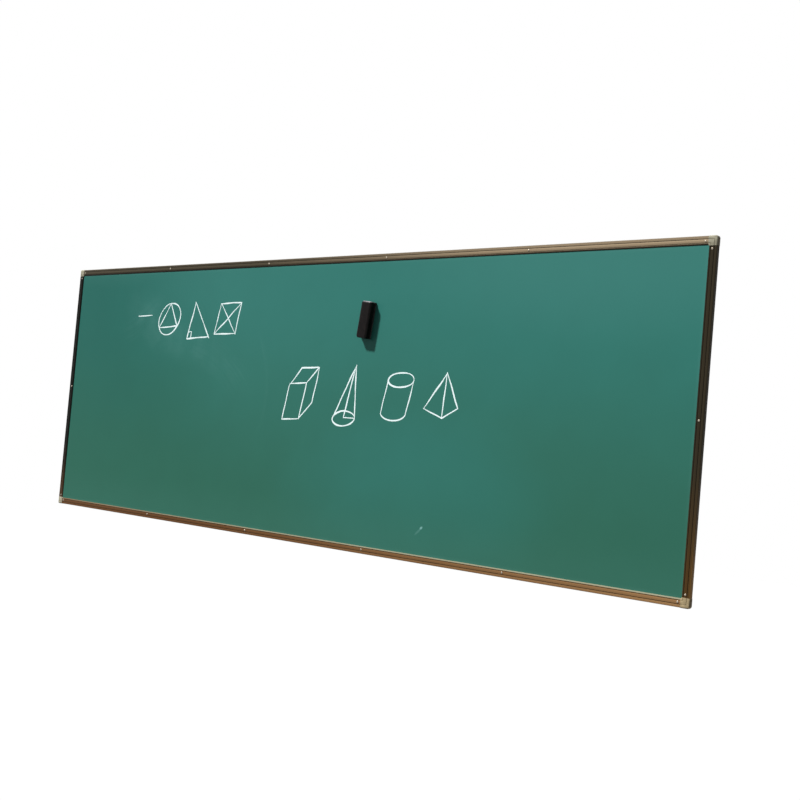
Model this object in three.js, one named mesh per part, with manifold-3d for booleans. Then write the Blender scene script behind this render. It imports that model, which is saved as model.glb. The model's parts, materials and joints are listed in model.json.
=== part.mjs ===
// A framed magnetic chalkboard for a classroom wall, with a block eraser that clings to its face.
// Millimetres. X runs along the board, Z is up and Y points into the wall, so the writing face
// looks towards -Y. The origin is the middle of the plane that lies against the wall.
import * as THREE from 'three';
import { mergeVertices } from 'three/addons/utils/BufferGeometryUtils.js';
import Module from 'manifold-3d';

const wasm = await Module();
wasm.setup();

// The whole board, over its corner caps
const BOARD_LENGTH = 3600;
const BOARD_HEIGHT = 1200;
const WALL_GAP = 4;

// The frame rail, an aluminium extrusion, in section
const RAIL_FACE = 30;
const RAIL_DEPTH = 15;
const RAIL_SIDE_WALL = 1.5;
const RAIL_BACK_WALL = 1.5;
const RAIL_FRONT_WALL = 2;
const RAIL_EDGE_RADIUS = 4;
const NARROW_RIB_WIDTH = 6;
const GROOVE_WIDTH = 1.5;
const GROOVE_DEPTH = 1;
const GROOVE_TAPER = 0.25;
const LIP_WIDTH = 5.5;
const LIP_BEVEL_WIDTH = 4;
const LIP_EDGE_HEIGHT = 1.25;
const SLOT_DEPTH = 6.5;
const BACK_LIP_SHORTER = 2;

// The panel that the rails hold
const RECESS = 3;
const SHEET_THICKNESS = 0.5;
const BACK_SHEET_THICKNESS = 0.5;
const PANEL_EDGE_CLEARANCE = 0.5;
const CORE_BOARD_COUNT = 4;

// Corner caps
const CAP_SIZE = 34;
const CAP_PROUD = 1;
const CAP_CORNER_RADIUS = 10;
const CAP_WALL = 3;
const SPIGOT_LENGTH = 30;
const SPIGOT_CHAMFER = 2;

// Screws, and the spacers that the long ones pass into
const SCREW_FROM_CORNER = 44;
const SCREW_SPACING = 700;
const LONG_RAIL_SCREWS = 4;
const SIDE_RAIL_SCREWS = 1;
const SCREW_RADIUS = 1.9;
const SCREW_HEAD_RADIUS = 3.75;
const SCREW_HEAD_HEIGHT = 2.2;
const SCREW_RECESS_LENGTH = 4;
const SCREW_RECESS_WIDTH = 0.9;
const SCREW_RECESS_DEPTH = 1.2;
const SHORT_SCREW_LENGTH = 9;
const LONG_SCREW_SHORT_OF_WALL = 0.5;
const SPACER_LENGTH = 60;
const SPACER_HEIGHT = 24;
const SPACER_FROM_RAIL_EDGE = 2;

// Flat bars over the joints of the core boards, and their countersunk rivets
const BAR_WIDTH = 40;
const BAR_END_GAP = 3;
const RIVET_FROM_BAR_END = 30;
const RIVET_OFF_CENTRE = 10;
const RIVET_RADIUS = 1.6;
const RIVET_HEAD_RADIUS = 3.2;
const RIVET_HEAD_HEIGHT = 1.5;
const RIVET_SUNK = 0.25;
const RIVET_LENGTH = 12;

// Eraser
const ERASER_LENGTH = 150;
const ERASER_WIDTH = 55;
const ERASER_DEPTH = 34;
const ERASER_CENTRE_X = 280.5;
const ERASER_CENTRE_Z = 330;
const ERASER_TILT_DEGREES = 6.5;
const ERASER_CORNER_RADIUS = 7;
const ERASER_EDGE_RADIUS = 5;
const ERASER_WALL = 2.5;
const GRIP_RADIUS = 14;
const GRIP_BITE = 1.2;
const FELT_THICKNESS = 9.5;
const FELT_INSET = 1;
const FELT_STRIPS = 5;
const FELT_SLIT_WIDTH = 1.2;
const FELT_SLIT_DEPTH = 4;
const PLATE_THICKNESS = 5;
const MAGNET_RADIUS = 10;
const MAGNET_FROM_CENTRE = 40;
const BOSS_RADIUS = 7;

// Fits, and how finely round things are faceted
const GAP = 0.3;
const ROUND_SIDES = 16;
const ARC_STEPS = 4;
const CUT_PAST = 1;

// Planes of the layers, from the wall forwards
const RAIL_BACK = -WALL_GAP;
const RAIL_FRONT = RAIL_BACK - RAIL_DEPTH;
const SHEET_FRONT = RAIL_FRONT + RECESS;
const CORE_FRONT = SHEET_FRONT + SHEET_THICKNESS;
const PANEL_BACK = RAIL_BACK - RAIL_BACK_WALL;
const CORE_BACK = PANEL_BACK - BACK_SHEET_THICKNESS;

// The rail's section, measured from its outer edge inwards
const LIP_START = RAIL_FACE - LIP_WIDTH;
const WIDE_RIB_END = LIP_START - GROOVE_WIDTH;
const NARROW_RIB_END = RAIL_EDGE_RADIUS + NARROW_RIB_WIDTH;
const WIDE_RIB_START = NARROW_RIB_END + GROOVE_WIDTH;
const SCREW_LINE = (WIDE_RIB_START + WIDE_RIB_END) / 2;
const SLOT_BOTTOM = RAIL_FACE - SLOT_DEPTH;
const CHAMBER_END = SLOT_BOTTOM - RAIL_SIDE_WALL;

// Half sizes of the board, and of the panel inside the rails' slots
const HALF_LENGTH = BOARD_LENGTH / 2;
const HALF_HEIGHT = BOARD_HEIGHT / 2;
const PANEL_INSET = CAP_PROUD + SLOT_BOTTOM + PANEL_EDGE_CLEARANCE;
const PANEL_HALF_LENGTH = HALF_LENGTH - PANEL_INSET;
const PANEL_HALF_HEIGHT = HALF_HEIGHT - PANEL_INSET;

const bronze = new THREE.MeshStandardMaterial({ color: 0x7a5a44, roughness: 0.4, metalness: 0.8 });
const lacquer = new THREE.MeshStandardMaterial({ color: 0x36705f, roughness: 0.75, metalness: 0 });
const galvanised = new THREE.MeshStandardMaterial({ color: 0x9da1a3, roughness: 0.5, metalness: 0.7 });
const coreCard = new THREE.MeshStandardMaterial({ color: 0xb79b74, roughness: 0.9, metalness: 0 });
const capPlastic = new THREE.MeshStandardMaterial({ color: 0xbdb8a4, roughness: 0.5, metalness: 0 });
const screwSteel = new THREE.MeshStandardMaterial({ color: 0xcac5ba, roughness: 0.3, metalness: 1 });
const bareAluminium = new THREE.MeshStandardMaterial({ color: 0xb5b6b8, roughness: 0.45, metalness: 1 });
const blackPlastic = new THREE.MeshStandardMaterial({ color: 0x1c1a1a, roughness: 0.45, metalness: 0 });
const feltCloth = new THREE.MeshStandardMaterial({ color: 0x201d1c, roughness: 1, metalness: 0 });
const foam = new THREE.MeshStandardMaterial({ color: 0x3a3a3c, roughness: 0.9, metalness: 0 });
const ferrite = new THREE.MeshStandardMaterial({ color: 0x34343a, roughness: 0.5, metalness: 0.4 });

const board = new THREE.Group();

// A closed geometry as a solid: shared corners merged, and the slivers at a lathe's poles left out
function toSolid(geometry) {
  const bare = geometry.clone();
  bare.deleteAttribute('normal');
  bare.deleteAttribute('uv');
  const merged = mergeVertices(bare, 1e-4);
  const corners = merged.index.array;
  const kept = [];
  for (let i = 0; i < corners.length; i += 3) {
    const [a, b, c] = [corners[i], corners[i + 1], corners[i + 2]];
    if (a !== b && b !== c && c !== a) kept.push(a, b, c);
  }
  const vertProperties = new Float32Array(merged.attributes.position.array);
  return new wasm.Manifold(new wasm.Mesh({ numProp: 3, vertProperties, triVerts: new Uint32Array(kept) }));
}

function toGeometry(solid) {
  const mesh = solid.getMesh();
  const geometry = new THREE.BufferGeometry();
  geometry.setAttribute('position', new THREE.BufferAttribute(new Float32Array(mesh.vertProperties), 3));
  geometry.setIndex(new THREE.BufferAttribute(new Uint32Array(mesh.triVerts), 1));
  geometry.computeVertexNormals();
  return geometry;
}

function join(first, ...others) {
  return toGeometry(others.reduce((solid, other) => solid.add(toSolid(other)), toSolid(first)));
}

function cut(geometry, ...cutters) {
  return toGeometry(cutters.reduce((solid, cutter) => solid.subtract(toSolid(cutter)), toSolid(geometry)));
}

function common(first, second) {
  return toGeometry(toSolid(first).intersect(toSolid(second)));
}

function block([x0, x1], [y0, y1], [z0, z1]) {
  const geometry = new THREE.BoxGeometry(x1 - x0, y1 - y0, z1 - z0);
  return geometry.translate((x0 + x1) / 2, (y0 + y1) / 2, (z0 + z1) / 2);
}

function rodAlongY(radius, [y0, y1], x = 0, z = 0) {
  return new THREE.CylinderGeometry(radius, radius, y1 - y0, ROUND_SIDES).translate(x, (y0 + y1) / 2, z);
}

function turned(profile) {
  return new THREE.LatheGeometry(profile.map(([radius, y]) => new THREE.Vector2(radius, y)), ROUND_SIDES);
}

function polygon(points) {
  return new THREE.Shape(points.map(([x, y]) => new THREE.Vector2(x, y)));
}

function extrude(shape, depth, more = {}) {
  return new THREE.ExtrudeGeometry(shape, { depth, bevelEnabled: false, curveSegments: ARC_STEPS, ...more });
}

// A plate whose outline is drawn in X and Z, between two planes of Y
function slab(shape, [y0, y1]) {
  return extrude(shape, y1 - y0).rotateX(Math.PI / 2).translate(0, y1, 0);
}

function roundedRectangle(width, height, radius) {
  const [x, y] = [width / 2 - radius, height / 2 - radius];
  const shape = new THREE.Shape();
  const corners = [[x, -y], [x, y], [-x, y], [-x, -y]];
  corners.forEach(([cx, cy], i) => {
    shape.absarc(cx, cy, radius, (i - 1) * (Math.PI / 2), i * (Math.PI / 2));
  });
  return shape;
}

function add(group, name, geometry, material) {
  const mesh = new THREE.Mesh(geometry, material);
  mesh.name = name;
  group.add(mesh);
  return mesh;
}

// A rail's own axes: x from its outer edge inwards, y from its back to its front, z along it.
const LONG_SIDE = { span: BOARD_LENGTH, screws: LONG_RAIL_SCREWS };
const SHORT_SIDE = { span: BOARD_HEIGHT, screws: SIDE_RAIL_SCREWS };
const SIDES = {
  bottom: { inwards: [0, 0, 1], edge: [0, 0, CAP_PROUD - HALF_HEIGHT], ...LONG_SIDE },
  top: { inwards: [0, 0, -1], edge: [0, 0, HALF_HEIGHT - CAP_PROUD], ...LONG_SIDE },
  left: { inwards: [1, 0, 0], edge: [CAP_PROUD - HALF_LENGTH, 0, 0], ...SHORT_SIDE },
  right: { inwards: [-1, 0, 0], edge: [HALF_LENGTH - CAP_PROUD, 0, 0], ...SHORT_SIDE },
};

function railGroup(side) {
  const { inwards, edge } = SIDES[side];
  const x = new THREE.Vector3(...inwards);
  const y = new THREE.Vector3(0, -1, 0);
  const z = new THREE.Vector3().crossVectors(x, y);
  const group = new THREE.Group();
  group.setRotationFromMatrix(new THREE.Matrix4().makeBasis(x, y, z));
  group.position.set(edge[0], RAIL_BACK, edge[2]);
  board.add(group);
  return group;
}

// The ribbed front of a rail, from its rounded outer edge to the bevelled lip over the panel.
// The caps have the same front, prouder all over by grow.
function ribbedFront(grow) {
  const front = RAIL_DEPTH + grow;
  const radius = RAIL_EDGE_RADIUS + grow;
  const points = [];
  for (let i = 0; i <= ARC_STEPS; i += 1) {
    const angle = (Math.PI / 2) * (i / ARC_STEPS);
    points.push([RAIL_EDGE_RADIUS - radius * Math.cos(angle), front - radius + radius * Math.sin(angle)]);
  }
  for (const [start, end] of [[NARROW_RIB_END, WIDE_RIB_START], [WIDE_RIB_END, LIP_START]]) {
    points.push([start, front], [start + GROOVE_TAPER, front - GROOVE_DEPTH]);
    points.push([end - GROOVE_TAPER, front - GROOVE_DEPTH], [end, front]);
  }
  points.push([RAIL_FACE - LIP_BEVEL_WIDTH, front]);
  points.push([RAIL_FACE, RAIL_DEPTH - RECESS + LIP_EDGE_HEIGHT + grow]);
  return points;
}

function railSection() {
  const section = polygon([
    [0, 0],
    ...ribbedFront(0),
    [RAIL_FACE, RAIL_DEPTH - RECESS],
    [SLOT_BOTTOM, RAIL_DEPTH - RECESS],
    [SLOT_BOTTOM, RAIL_BACK_WALL],
    [RAIL_FACE - BACK_LIP_SHORTER, RAIL_BACK_WALL],
    [RAIL_FACE - BACK_LIP_SHORTER, 0],
  ]);
  section.holes.push(polygon([
    [RAIL_SIDE_WALL, RAIL_BACK_WALL],
    [CHAMBER_END, RAIL_BACK_WALL],
    [CHAMBER_END, RAIL_DEPTH - RAIL_FRONT_WALL],
    [RAIL_SIDE_WALL, RAIL_DEPTH - RAIL_FRONT_WALL],
  ]));
  return section;
}

// The screws of a side stand in one row. The two at its ends hold the caps, and those between them
// go through to the wall.
function screwPlaces(side) {
  const { span, screws } = SIDES[side];
  const end = span / 2 - SCREW_FROM_CORNER;
  const between = Array.from({ length: screws }, (_, i) => (i - (screws - 1) / 2) * SCREW_SPACING);
  return { ends: [-end, end], between };
}

function railGeometry(side) {
  const length = SIDES[side].span - 2 * CAP_SIZE;
  const bar = extrude(railSection(), length).translate(0, 0, -length / 2);
  const { ends, between } = screwPlaces(side);
  const hole = SCREW_RADIUS + GAP;
  const front = RAIL_DEPTH + CUT_PAST;
  const shortHoles = ends.map((place) => rodAlongY(hole, [RAIL_DEPTH / 2, front], SCREW_LINE, place));
  const longHoles = between.map((place) => rodAlongY(hole, [-CUT_PAST, front], SCREW_LINE, place));
  return cut(bar, ...shortHoles, ...longHoles);
}

// A pan-head screw with a cross recess. The head's seat is at y = 0 and the point is at y = -length.
function screwGeometry(length) {
  const screw = turned([
    [0, -length],
    [SCREW_RADIUS, SCREW_RADIUS - length],
    [SCREW_RADIUS, 0],
    [SCREW_HEAD_RADIUS, 0],
    [SCREW_HEAD_RADIUS, SCREW_HEAD_HEIGHT * 0.35],
    [SCREW_HEAD_RADIUS * 0.8, SCREW_HEAD_HEIGHT * 0.8],
    [SCREW_HEAD_RADIUS * 0.4, SCREW_HEAD_HEIGHT],
    [0, SCREW_HEAD_HEIGHT],
  ]);
  const depth = [SCREW_HEAD_HEIGHT - SCREW_RECESS_DEPTH, SCREW_HEAD_HEIGHT + CUT_PAST];
  const long = [-SCREW_RECESS_LENGTH / 2, SCREW_RECESS_LENGTH / 2];
  const short = [-SCREW_RECESS_WIDTH / 2, SCREW_RECESS_WIDTH / 2];
  return cut(screw, block(long, depth, short), block(short, depth, long));
}

// A pad between a rail and the wall, tapped for the screw
function spacerGeometry() {
  const pad = block(
    [SPACER_FROM_RAIL_EDGE, SPACER_FROM_RAIL_EDGE + SPACER_HEIGHT],
    [-WALL_GAP, 0],
    [-SPACER_LENGTH / 2, SPACER_LENGTH / 2],
  );
  return cut(pad, rodAlongY(SCREW_RADIUS + GAP, [-WALL_GAP - CUT_PAST, CUT_PAST], SCREW_LINE));
}

function makeSide(side) {
  const group = railGroup(side);
  const shortScrew = screwGeometry(SHORT_SCREW_LENGTH);
  const longScrew = screwGeometry(RAIL_DEPTH + WALL_GAP - LONG_SCREW_SHORT_OF_WALL);
  const spacer = spacerGeometry();
  const { ends, between } = screwPlaces(side);
  add(group, `rail_${side}`, railGeometry(side), bronze);
  ends.forEach((place, i) => {
    const screw = add(group, `corner_screw_${side}_${i + 1}`, shortScrew, screwSteel);
    screw.position.set(SCREW_LINE, RAIL_DEPTH, place);
  });
  between.forEach((place, i) => {
    const screw = add(group, `rail_screw_${side}_${i + 1}`, longScrew, screwSteel);
    screw.position.set(SCREW_LINE, RAIL_DEPTH, place);
    add(group, `wall_spacer_${side}_${i + 1}`, spacer, galvanised).position.z = place;
  });
}

// A corner's outline in X and Z, like an L with its outer corner rounded. Both arms start at low.
function cornerOutline(low, armWidth, armEnd, radius) {
  const shape = new THREE.Shape();
  shape.moveTo(armEnd, low);
  shape.lineTo(armEnd, armWidth);
  shape.lineTo(armWidth, armWidth);
  shape.lineTo(armWidth, armEnd);
  shape.lineTo(low, armEnd);
  shape.lineTo(low, low + radius);
  shape.absarc(low + radius, low + radius, radius, Math.PI, 1.5 * Math.PI);
  return shape;
}

// One arm of a cap, with the rails' ribs, cut off along the mitre. The cap's axes start at the
// board's outer corner, x and z along its edges. across is the axis that the ribs are spaced along.
function capArm(across) {
  const section = polygon([
    [0, 0],
    ...ribbedFront(CAP_PROUD).map(([x, y]) => [x + CAP_PROUD, y]),
    [CAP_PROUD + RAIL_FACE, 0],
  ]);
  const alongZ = across === 'x';
  const x = new THREE.Vector3(alongZ ? 1 : 0, 0, alongZ ? 0 : 1);
  const y = new THREE.Vector3(0, -1, 0);
  const z = new THREE.Vector3().crossVectors(x, y);
  const arm = extrude(section, CAP_SIZE).applyMatrix4(new THREE.Matrix4().makeBasis(x, y, z));
  if (alongZ) arm.translate(0, 0, CAP_SIZE);
  const far = 2 * CAP_SIZE;
  const mitre = alongZ ? [[0, 0], [far, far], [0, far]] : [[0, 0], [far, 0], [far, far]];
  return common(arm, slab(polygon(mitre), [-2 * RAIL_DEPTH, CUT_PAST])).translate(0, RAIL_BACK, 0);
}

// A spigot that fills the end of a rail's chamber, chamfered at its tip
function spigot(across) {
  const low = CAP_PROUD + RAIL_SIDE_WALL + GAP;
  const high = CAP_PROUD + CHAMBER_END - GAP;
  const start = CAP_SIZE - CAP_WALL / 2;
  const end = CAP_SIZE + SPIGOT_LENGTH;
  const points = [
    [start, low],
    [end - SPIGOT_CHAMFER, low],
    [end, low + SPIGOT_CHAMFER],
    [end, high - SPIGOT_CHAMFER],
    [end - SPIGOT_CHAMFER, high],
    [start, high],
  ];
  const plan = polygon(across === 'x' ? points.map(([x, z]) => [z, x]) : points);
  const depth = [RAIL_FRONT + RAIL_FRONT_WALL + GAP, RAIL_BACK - RAIL_BACK_WALL - GAP];
  return slab(plan, depth);
}

function capGeometry() {
  const innerEdge = CAP_PROUD + RAIL_FACE;
  const capFront = RAIL_FRONT - CAP_PROUD;
  const lipFront = SHEET_FRONT - LIP_EDGE_HEIGHT - CAP_PROUD;
  const outline = cornerOutline(0, innerEdge, CAP_SIZE, CAP_CORNER_RADIUS);
  const throughout = [capFront - CUT_PAST, RAIL_BACK + CUT_PAST];
  const ribbed = common(join(capArm('x'), capArm('z')), slab(outline, throughout));
  const filletSquare = [innerEdge - CUT_PAST, CAP_SIZE];
  const fillet = cut(
    block(filletSquare, [lipFront, RAIL_BACK], filletSquare),
    rodAlongY(CAP_SIZE - innerEdge, throughout, CAP_SIZE, CAP_SIZE),
  );
  // The back is hollow, and the panel's corner lies in a pocket behind the lip.
  const hollowFront = capFront + CAP_WALL;
  const hollowRadius = CAP_CORNER_RADIUS - CAP_WALL;
  const hollow = slab(
    cornerOutline(CAP_WALL, CAP_PROUD + SLOT_BOTTOM - CAP_WALL, CAP_SIZE - CAP_WALL, hollowRadius),
    [hollowFront, RAIL_BACK + CUT_PAST],
  );
  const pocket = [CAP_PROUD + SLOT_BOTTOM, 2 * CAP_SIZE];
  const shell = cut(join(ribbed, fillet), hollow, block(pocket, [SHEET_FRONT, RAIL_BACK + CUT_PAST], pocket));
  const screwHole = [RAIL_FRONT, RAIL_FRONT + SHORT_SCREW_LENGTH + CUT_PAST];
  const screwAcross = CAP_PROUD + SCREW_LINE;
  return cut(
    join(shell, spigot('x'), spigot('z')),
    rodAlongY(SCREW_RADIUS + GAP, screwHole, SCREW_FROM_CORNER, screwAcross),
    rodAlongY(SCREW_RADIUS + GAP, screwHole, screwAcross, SCREW_FROM_CORNER),
  );
}

// A cap is the same both ways along its mitre, so quarter turns bring it to every corner.
function makeCaps() {
  const geometry = capGeometry();
  const corners = [
    { name: 'bottom_left', x: -HALF_LENGTH, z: -HALF_HEIGHT, turns: 0 },
    { name: 'top_left', x: -HALF_LENGTH, z: HALF_HEIGHT, turns: 1 },
    { name: 'top_right', x: HALF_LENGTH, z: HALF_HEIGHT, turns: 2 },
    { name: 'bottom_right', x: HALF_LENGTH, z: -HALF_HEIGHT, turns: 3 },
  ];
  for (const { name, x, z, turns } of corners) {
    const cap = add(board, `corner_cap_${name}`, geometry, capPlastic);
    cap.position.set(x, 0, z);
    cap.rotation.y = turns * (Math.PI / 2);
  }
}

// The joints between the core boards, and the rivets that stand beside each one
const CORE_STEP = (2 * PANEL_HALF_LENGTH) / CORE_BOARD_COUNT;
const CORE_JOINTS = Array.from(
  { length: CORE_BOARD_COUNT - 1 },
  (_, i) => (i + 1) * CORE_STEP - PANEL_HALF_LENGTH,
);
const BAR_HALF_LENGTH = HALF_HEIGHT - CAP_PROUD - RAIL_FACE + BACK_LIP_SHORTER - BAR_END_GAP;
const RIVET_ROW = BAR_HALF_LENGTH - RIVET_FROM_BAR_END;
const RIVETS = CORE_JOINTS.flatMap((joint, i) => [
  { name: `bar_rivet_${i + 1}_bottom`, x: joint - RIVET_OFF_CENTRE, z: -RIVET_ROW },
  { name: `bar_rivet_${i + 1}_top`, x: joint + RIVET_OFF_CENTRE, z: RIVET_ROW },
]);

// A rivet with its flat head to the back, thicker by grow for the hole that it sits in
function rivetGeometry(grow) {
  const head = grow > 0 ? CUT_PAST : 0;
  return turned([
    [0, -RIVET_LENGTH - grow],
    [RIVET_RADIUS + grow, -RIVET_LENGTH - grow],
    [RIVET_RADIUS + grow, -RIVET_HEAD_HEIGHT],
    [RIVET_HEAD_RADIUS + grow, 0],
    [RIVET_HEAD_RADIUS + grow, head],
    [0, head],
  ].filter(([, y], i) => grow > 0 || i !== 4));
}

function rivetHoles([left, right]) {
  const crossing = RIVETS.filter(({ x }) => x > left && x < right);
  return crossing.map(({ x, z }) => rivetGeometry(GAP).translate(x, -RIVET_SUNK, z));
}

function makePanel() {
  const across = [-PANEL_HALF_LENGTH, PANEL_HALF_LENGTH];
  const up = [-PANEL_HALF_HEIGHT, PANEL_HALF_HEIGHT];
  add(board, 'writing_sheet', block(across, [SHEET_FRONT, CORE_FRONT], up), lacquer);
  for (let i = 0; i < CORE_BOARD_COUNT; i += 1) {
    const left = i === 0 ? -PANEL_HALF_LENGTH : CORE_JOINTS[i - 1];
    const right = i === CORE_BOARD_COUNT - 1 ? PANEL_HALF_LENGTH : CORE_JOINTS[i];
    const core = block([left, right], [CORE_FRONT, CORE_BACK], up);
    add(board, `core_board_${i + 1}`, cut(core, ...rivetHoles([left, right])), coreCard);
  }
  const back = block(across, [CORE_BACK, PANEL_BACK], up);
  add(board, 'back_sheet', cut(back, ...rivetHoles(across)), galvanised);
  CORE_JOINTS.forEach((joint, i) => {
    const width = [joint - BAR_WIDTH / 2, joint + BAR_WIDTH / 2];
    const bar = block(width, [PANEL_BACK, 0], [-BAR_HALF_LENGTH, BAR_HALF_LENGTH]);
    add(board, `rear_bar_${i + 1}`, cut(bar, ...rivetHoles(width)), bareAluminium);
  });
  for (const { name, x, z } of RIVETS) {
    add(board, name, rivetGeometry(0), bareAluminium).position.set(x, -RIVET_SUNK, z);
  }
}

// The eraser's layers from the writing face outwards: felt, foam plate with magnets, plastic shell.
// Its own y is 0 where the felt would touch the sheet, and falls towards the hand.
const PLATE_FRONT = -FELT_THICKNESS - PLATE_THICKNESS;
const SHELL_CEILING = ERASER_WALL - ERASER_DEPTH;
const MAGNET_PLACES = { upper: MAGNET_FROM_CENTRE, lower: -MAGNET_FROM_CENTRE };

function eraserShell() {
  const outline = roundedRectangle(ERASER_WIDTH, ERASER_LENGTH, ERASER_CORNER_RADIUS);
  const shaped = extrude(outline, ERASER_DEPTH - ERASER_EDGE_RADIUS, {
    bevelEnabled: true,
    bevelThickness: ERASER_EDGE_RADIUS,
    bevelSize: ERASER_EDGE_RADIUS,
    bevelOffset: -ERASER_EDGE_RADIUS,
    bevelSegments: ARC_STEPS,
  }).rotateX(Math.PI / 2);
  const whole = [-ERASER_LENGTH, ERASER_LENGTH];
  const outside = common(shaped, block(whole, [-ERASER_DEPTH - CUT_PAST, -FELT_THICKNESS], whole));
  const cavityOutline = roundedRectangle(
    ERASER_WIDTH - 2 * ERASER_WALL,
    ERASER_LENGTH - 2 * ERASER_WALL,
    ERASER_CORNER_RADIUS - ERASER_WALL,
  );
  const cavity = slab(cavityOutline, [SHELL_CEILING, 0]);
  const gripY = (-FELT_THICKNESS - ERASER_DEPTH) / 2;
  const grips = [-1, 1].map((side) => {
    const x = side * (ERASER_WIDTH / 2 + GRIP_RADIUS - GRIP_BITE);
    return rodAlongY(GRIP_RADIUS, whole).rotateX(Math.PI / 2).translate(x, gripY, 0);
  });
  const bosses = Object.values(MAGNET_PLACES).map((z) => (
    rodAlongY(BOSS_RADIUS, [SHELL_CEILING - CUT_PAST, PLATE_FRONT - GAP], 0, z)
  ));
  return join(cut(outside, cavity, ...grips), ...bosses);
}

function feltGeometry() {
  const width = ERASER_WIDTH - 2 * FELT_INSET;
  const strip = (width - (FELT_STRIPS - 1) * FELT_SLIT_WIDTH) / FELT_STRIPS;
  const points = [[-width / 2, -FELT_THICKNESS], [width / 2, -FELT_THICKNESS]];
  for (let i = FELT_STRIPS - 1; i >= 0; i -= 1) {
    const left = -width / 2 + i * (strip + FELT_SLIT_WIDTH);
    points.push([left + strip, 0], [left, 0]);
    if (i > 0) points.push([left, -FELT_SLIT_DEPTH], [left - FELT_SLIT_WIDTH, -FELT_SLIT_DEPTH]);
  }
  const length = ERASER_LENGTH - 2 * FELT_INSET;
  return extrude(polygon(points), length).translate(0, 0, -length / 2);
}

function makeEraser() {
  const eraser = new THREE.Group();
  eraser.position.set(ERASER_CENTRE_X, SHEET_FRONT - GAP, ERASER_CENTRE_Z);
  eraser.rotation.y = THREE.MathUtils.degToRad(ERASER_TILT_DEGREES);
  board.add(eraser);
  const plateDepth = [PLATE_FRONT, -FELT_THICKNESS];
  const plateOutline = roundedRectangle(
    ERASER_WIDTH - 2 * (ERASER_WALL + GAP),
    ERASER_LENGTH - 2 * (ERASER_WALL + GAP),
    ERASER_CORNER_RADIUS - ERASER_WALL - GAP,
  );
  const pockets = Object.values(MAGNET_PLACES).map((z) => rodAlongY(MAGNET_RADIUS + GAP, [-ERASER_DEPTH, 0], 0, z));
  add(eraser, 'eraser_shell', eraserShell(), blackPlastic);
  add(eraser, 'eraser_foam_plate', cut(slab(plateOutline, plateDepth), ...pockets), foam);
  for (const [place, z] of Object.entries(MAGNET_PLACES)) {
    add(eraser, `eraser_magnet_${place}`, rodAlongY(MAGNET_RADIUS, plateDepth), ferrite).position.z = z;
  }
  add(eraser, 'eraser_felt', feltGeometry(), feltCloth);
}

makePanel();
Object.keys(SIDES).forEach(makeSide);
makeCaps();
makeEraser();

export default board;
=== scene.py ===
# %% [markdown]
# # A magnetic chalkboard
#
# This lesson dresses a classroom chalkboard: a green lacquered steel sheet in a ribbed bronze frame,
# with pale plastic corner caps, bright screws and a black eraser that clings to the face by magnets.
# The construction is already there, at its real size, in metres. Here every visible piece gets its
# fine shape, where the plain one is too hard-edged, and every surface gets its finish.
#
# Blender's noise starts from the clock unless it is given a seed. It gets one here, so that the
# wobble of the chalk and the lumps of the felt come out the same in every run.

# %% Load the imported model
import json
import math

import bmesh
import bpy
from mathutils import Matrix, Vector, noise

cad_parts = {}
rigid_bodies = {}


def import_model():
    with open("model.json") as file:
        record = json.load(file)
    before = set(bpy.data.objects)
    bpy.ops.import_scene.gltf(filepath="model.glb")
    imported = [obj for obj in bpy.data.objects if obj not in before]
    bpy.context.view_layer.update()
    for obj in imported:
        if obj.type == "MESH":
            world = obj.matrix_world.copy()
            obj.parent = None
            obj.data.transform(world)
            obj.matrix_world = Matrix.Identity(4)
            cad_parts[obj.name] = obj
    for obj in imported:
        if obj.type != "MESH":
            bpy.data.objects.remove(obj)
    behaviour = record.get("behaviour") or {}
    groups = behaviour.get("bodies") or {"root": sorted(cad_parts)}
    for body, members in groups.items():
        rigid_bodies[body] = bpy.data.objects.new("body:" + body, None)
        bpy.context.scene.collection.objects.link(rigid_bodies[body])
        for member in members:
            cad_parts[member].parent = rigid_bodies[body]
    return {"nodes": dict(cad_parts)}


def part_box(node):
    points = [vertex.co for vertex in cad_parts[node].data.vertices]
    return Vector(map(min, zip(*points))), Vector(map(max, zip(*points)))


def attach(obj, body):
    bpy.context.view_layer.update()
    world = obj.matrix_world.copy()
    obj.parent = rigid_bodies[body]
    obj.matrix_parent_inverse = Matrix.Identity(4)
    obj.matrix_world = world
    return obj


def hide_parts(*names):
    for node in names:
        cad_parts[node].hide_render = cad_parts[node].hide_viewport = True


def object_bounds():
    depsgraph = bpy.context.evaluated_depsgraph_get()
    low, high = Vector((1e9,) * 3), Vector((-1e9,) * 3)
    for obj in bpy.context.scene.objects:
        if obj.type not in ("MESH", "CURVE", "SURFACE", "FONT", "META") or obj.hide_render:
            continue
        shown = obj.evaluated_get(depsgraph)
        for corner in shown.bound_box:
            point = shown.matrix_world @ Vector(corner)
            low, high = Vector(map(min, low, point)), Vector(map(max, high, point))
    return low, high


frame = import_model()
cad_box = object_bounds()
MM = 0.001
NOISE_SEED = 7
noise.seed_set(NOISE_SEED)
print("pieces in the frame:", len(frame["nodes"]))

# %% [markdown]
# ## The camera
#
# The picture was taken from the board's right, a little below its middle, so the right end looms and
# the left end falls away. The eight long edges of the frame fix where the camera stood, so its place
# and its three turns are written down as measured. Nothing is shifted: the board's place in the
# picture comes from the turns alone.

# %% The camera
CAMERA_PLACE = (3.745, -3.6085, -0.1726)
CAMERA_PITCH_DEGREES = 92.245
CAMERA_ROLL_DEGREES = -5.001
CAMERA_HEADING_DEGREES = 42.021
LENS_MM = 56.02
SENSOR_MM = 36

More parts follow.
